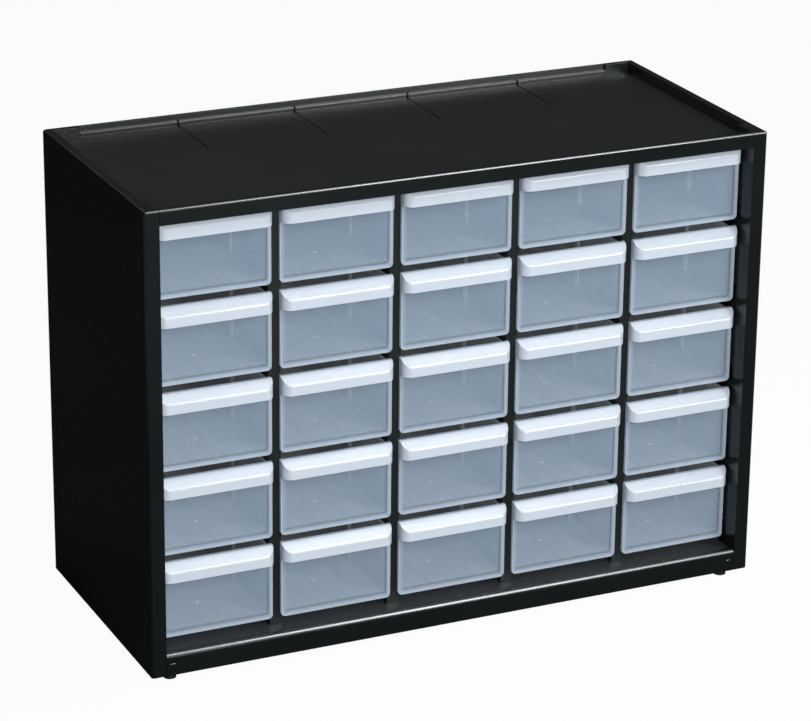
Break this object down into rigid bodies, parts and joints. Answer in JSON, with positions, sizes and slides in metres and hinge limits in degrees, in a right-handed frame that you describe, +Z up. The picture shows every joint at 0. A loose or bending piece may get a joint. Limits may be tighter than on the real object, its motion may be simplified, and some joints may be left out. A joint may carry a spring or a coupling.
{
  "type": "parts bin cabinet",
  "caption": "Black moulded small-parts cabinet with a grid of frosted pull-out drawers, a rimmed tray on top and peg feet.",
  "frame": {"origin": "centre of the footprint, on the surface that the feet stand on", "axes": "+X to the cabinet's right as seen from the front, +Y to the back, +Z up"},
  "size_m": [0.365, 0.158, 0.2668],
  "materials": {
    "case_black": "glossy",
    "divider_black": "satin",
    "drawer_frosted": "frosted, translucent",
    "foot_rubber": "matt"
  },
  "bodies": {
    "case": {"left_side_panel": "case_black", "right_side_panel": "case_black", "top_panel": "case_black", "base_panel": "case_black", "back_panel": "case_black", "divider_1": "divider_black", "divider_2": "divider_black", "divider_3": "divider_black", "divider_4": "divider_black", "feet": "foot_rubber"},
    "drawer_r1c1": {"drawer_r1c1": "drawer_frosted"},
    "drawer_r1c2": {"drawer_r1c2": "drawer_frosted"},
    "drawer_r1c3": {"drawer_r1c3": "drawer_frosted"},
    "drawer_r1c4": {"drawer_r1c4": "drawer_frosted"},
    "drawer_r1c5": {"drawer_r1c5": "drawer_frosted"},
    "drawer_r2c1": {"drawer_r2c1": "drawer_frosted"},
    "drawer_r2c2": {"drawer_r2c2": "drawer_frosted"},
    "drawer_r2c3": {"drawer_r2c3": "drawer_frosted"},
    "drawer_r2c4": {"drawer_r2c4": "drawer_frosted"},
    "drawer_r2c5": {"drawer_r2c5": "drawer_frosted"},
    "drawer_r3c1": {"drawer_r3c1": "drawer_frosted"},
    "drawer_r3c2": {"drawer_r3c2": "drawer_frosted"},
    "drawer_r3c3": {"drawer_r3c3": "drawer_frosted"},
    "drawer_r3c4": {"drawer_r3c4": "drawer_frosted"},
    "drawer_r3c5": {"drawer_r3c5": "drawer_frosted"},
    "drawer_r4c1": {"drawer_r4c1": "drawer_frosted"},
    "drawer_r4c2": {"drawer_r4c2": "drawer_frosted"},
    "drawer_r4c3": {"drawer_r4c3": "drawer_frosted"},
    "drawer_r4c4": {"drawer_r4c4": "drawer_frosted"},
    "drawer_r4c5": {"drawer_r4c5": "drawer_frosted"},
    "drawer_r5c1": {"drawer_r5c1": "drawer_frosted"},
    "drawer_r5c2": {"drawer_r5c2": "drawer_frosted"},
    "drawer_r5c3": {"drawer_r5c3": "drawer_frosted"},
    "drawer_r5c4": {"drawer_r5c4": "drawer_frosted"},
    "drawer_r5c5": {"drawer_r5c5": "drawer_frosted"}
  },
  "joints": [
    {"name": "drawer_r1c1_slide", "type": "slide", "parent": "case", "child": "drawer_r1c1", "axis": [0, -1, 0], "range_m": [0, 0.115]},
    {"name": "drawer_r1c2_slide", "type": "slide", "parent": "case", "child": "drawer_r1c2", "axis": [0, -1, 0], "range_m": [0, 0.115]},
    {"name": "drawer_r1c3_slide", "type": "slide", "parent": "case", "child": "drawer_r1c3", "axis": [0, -1, 0], "range_m": [0, 0.115]},
    {"name": "drawer_r1c4_slide", "type": "slide", "parent": "case", "child": "drawer_r1c4", "axis": [0, -1, 0], "range_m": [0, 0.115]},
    {"name": "drawer_r1c5_slide", "type": "slide", "parent": "case", "child": "drawer_r1c5", "axis": [0, -1, 0], "range_m": [0, 0.115]},
    {"name": "drawer_r2c1_slide", "type": "slide", "parent": "case", "child": "drawer_r2c1", "axis": [0, -1, 0], "range_m": [0, 0.115]},
    {"name": "drawer_r2c2_slide", "type": "slide", "parent": "case", "child": "drawer_r2c2", "axis": [0, -1, 0], "range_m": [0, 0.115]},
    {"name": "drawer_r2c3_slide", "type": "slide", "parent": "case", "child": "drawer_r2c3", "axis": [0, -1, 0], "range_m": [0, 0.115]},
    {"name": "drawer_r2c4_slide", "type": "slide", "parent": "case", "child": "drawer_r2c4", "axis": [0, -1, 0], "range_m": [0, 0.115]},
    {"name": "drawer_r2c5_slide", "type": "slide", "parent": "case", "child": "drawer_r2c5", "axis": [0, -1, 0], "range_m": [0, 0.115]},
    {"name": "drawer_r3c1_slide", "type": "slide", "parent": "case", "child": "drawer_r3c1", "axis": [0, -1, 0], "range_m": [0, 0.115]},
    {"name": "drawer_r3c2_slide", "type": "slide", "parent": "case", "child": "drawer_r3c2", "axis": [0, -1, 0], "range_m": [0, 0.115]},
    {"name": "drawer_r3c3_slide", "type": "slide", "parent": "case", "child": "drawer_r3c3", "axis": [0, -1, 0], "range_m": [0, 0.115]},
    {"name": "drawer_r3c4_slide", "type": "slide", "parent": "case", "child": "drawer_r3c4", "axis": [0, -1, 0], "range_m": [0, 0.115]},
    {"name": "drawer_r3c5_slide", "type": "slide", "parent": "case", "child": "drawer_r3c5", "axis": [0, -1, 0], "range_m": [0, 0.115]},
    {"name": "drawer_r4c1_slide", "type": "slide", "parent": "case", "child": "drawer_r4c1", "axis": [0, -1, 0], "range_m": [0, 0.115]},
    {"name": "drawer_r4c2_slide", "type": "slide", "parent": "case", "child": "drawer_r4c2", "axis": [0, -1, 0], "range_m": [0, 0.115]},
    {"name": "drawer_r4c3_slide", "type": "slide", "parent": "case", "child": "drawer_r4c3", "axis": [0, -1, 0], "range_m": [0, 0.115]},
    {"name": "drawer_r4c4_slide", "type": "slide", "parent": "case", "child": "drawer_r4c4", "axis": [0, -1, 0], "range_m": [0, 0.115]},
    {"name": "drawer_r4c5_slide", "type": "slide", "parent": "case", "child": "drawer_r4c5", "axis": [0, -1, 0], "range_m": [0, 0.115]},
    {"name": "drawer_r5c1_slide", "type": "slide", "parent": "case", "child": "drawer_r5c1", "axis": [0, -1, 0], "range_m": [0, 0.115]},
    {"name": "drawer_r5c2_slide", "type": "slide", "parent": "case", "child": "drawer_r5c2", "axis": [0, -1, 0], "range_m": [0, 0.115]},
    {"name": "drawer_r5c3_slide", "type": "slide", "parent": "case", "child": "drawer_r5c3", "axis": [0, -1, 0], "range_m": [0, 0.115]},
    {"name": "drawer_r5c4_slide", "type": "slide", "parent": "case", "child": "drawer_r5c4", "axis": [0, -1, 0], "range_m": [0, 0.115]},
    {"name": "drawer_r5c5_slide", "type": "slide", "parent": "case", "child": "drawer_r5c5", "axis": [0, -1, 0], "range_m": [0, 0.115]}
  ]
}
